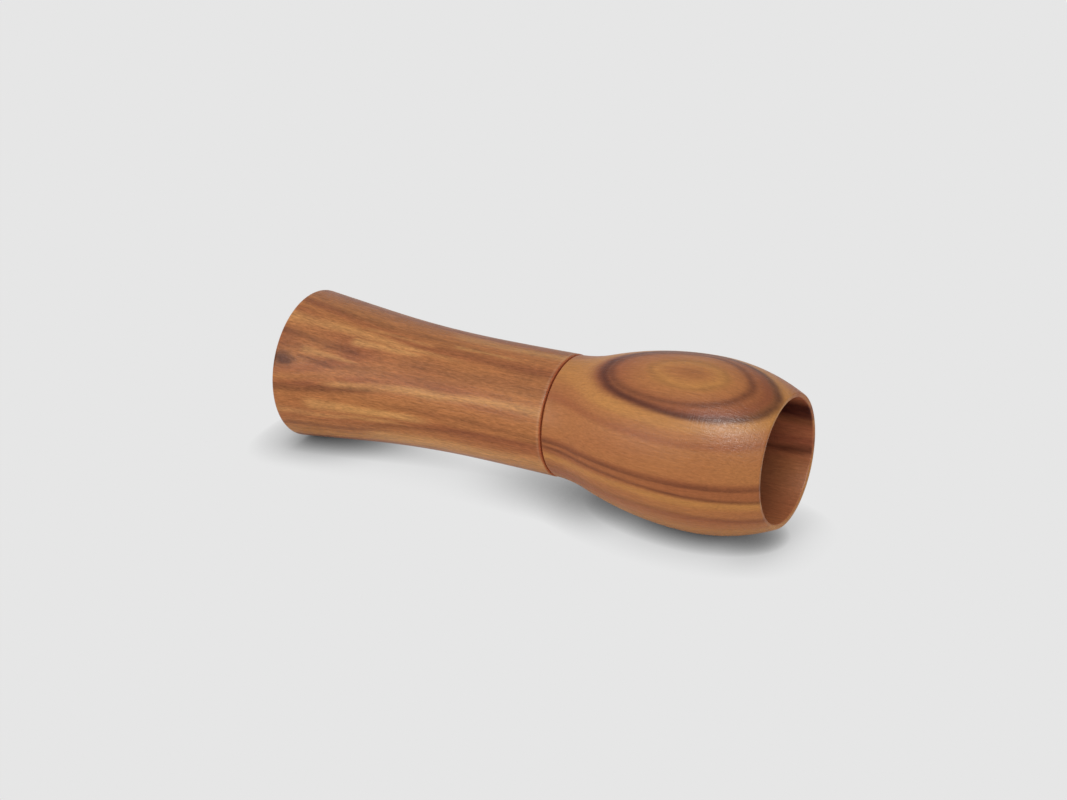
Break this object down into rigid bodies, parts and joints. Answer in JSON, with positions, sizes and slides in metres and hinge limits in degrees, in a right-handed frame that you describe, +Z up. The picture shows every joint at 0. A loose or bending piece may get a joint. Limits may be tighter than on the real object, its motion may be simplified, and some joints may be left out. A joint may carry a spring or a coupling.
{
  "type": "bird call",
  "caption": "Turned olive-wood bird call: a flared mouthpiece plugs onto the ringed tenon of a round-bellied open bell that holds a reed insert.",
  "frame": {"origin": "centre of the mouth ring, on the turning axis", "axes": "+X along the turning axis, from the mouth ring to the bell's lip; +Z up, with the reeds lying flat on top of their tone board"},
  "size_m": [0.13, 0.0414, 0.0414],
  "materials": {
    "olive_mouthpiece": "oiled olive wood, satin, grain along the axis",
    "olive_bell": "oiled olive wood, satin, oval growth rings on the belly",
    "board_plastic": "machined black plastic, satin",
    "reed_film": "frosted translucent plastic film",
    "cork": "natural cork",
    "ring_rubber": "black rubber"
  },
  "bodies": {
    "mouthpiece": {"mouthpiece": "olive_mouthpiece"},
    "seal_rings": {"front_o_ring": "ring_rubber", "rear_o_ring": "ring_rubber"},
    "bell": {"bell": "olive_bell"},
    "insert": {"tone_board": "board_plastic", "wedge": "cork"},
    "reeds": {"long_reed": "reed_film", "short_reed": "reed_film"}
  },
  "joints": [
    {"name": "bell_pull", "type": "slide", "parent": "mouthpiece", "child": "seal_rings", "axis": [1, 0, 0], "range_m": [0, 0.06]},
    {"name": "bell_twist", "type": "hinge", "parent": "seal_rings", "child": "bell", "pos_m": [0.0565, 0, 0], "axis": [1, 0, 0], "continuous": true},
    {"name": "insert_pull", "type": "slide", "parent": "bell", "child": "insert", "axis": [-1, 0, 0], "range_m": [0, 0.018]},
    {"name": "reed_flex", "type": "hinge", "parent": "insert", "child": "reeds", "pos_m": [0.0575, 0, -0.0005], "axis": [0, -1, 0], "range_deg": [-0.5, 1.5], "stiffness_Nm_per_rad": 0.012, "deforming": ["long_reed", "short_reed"]}
  ]
}
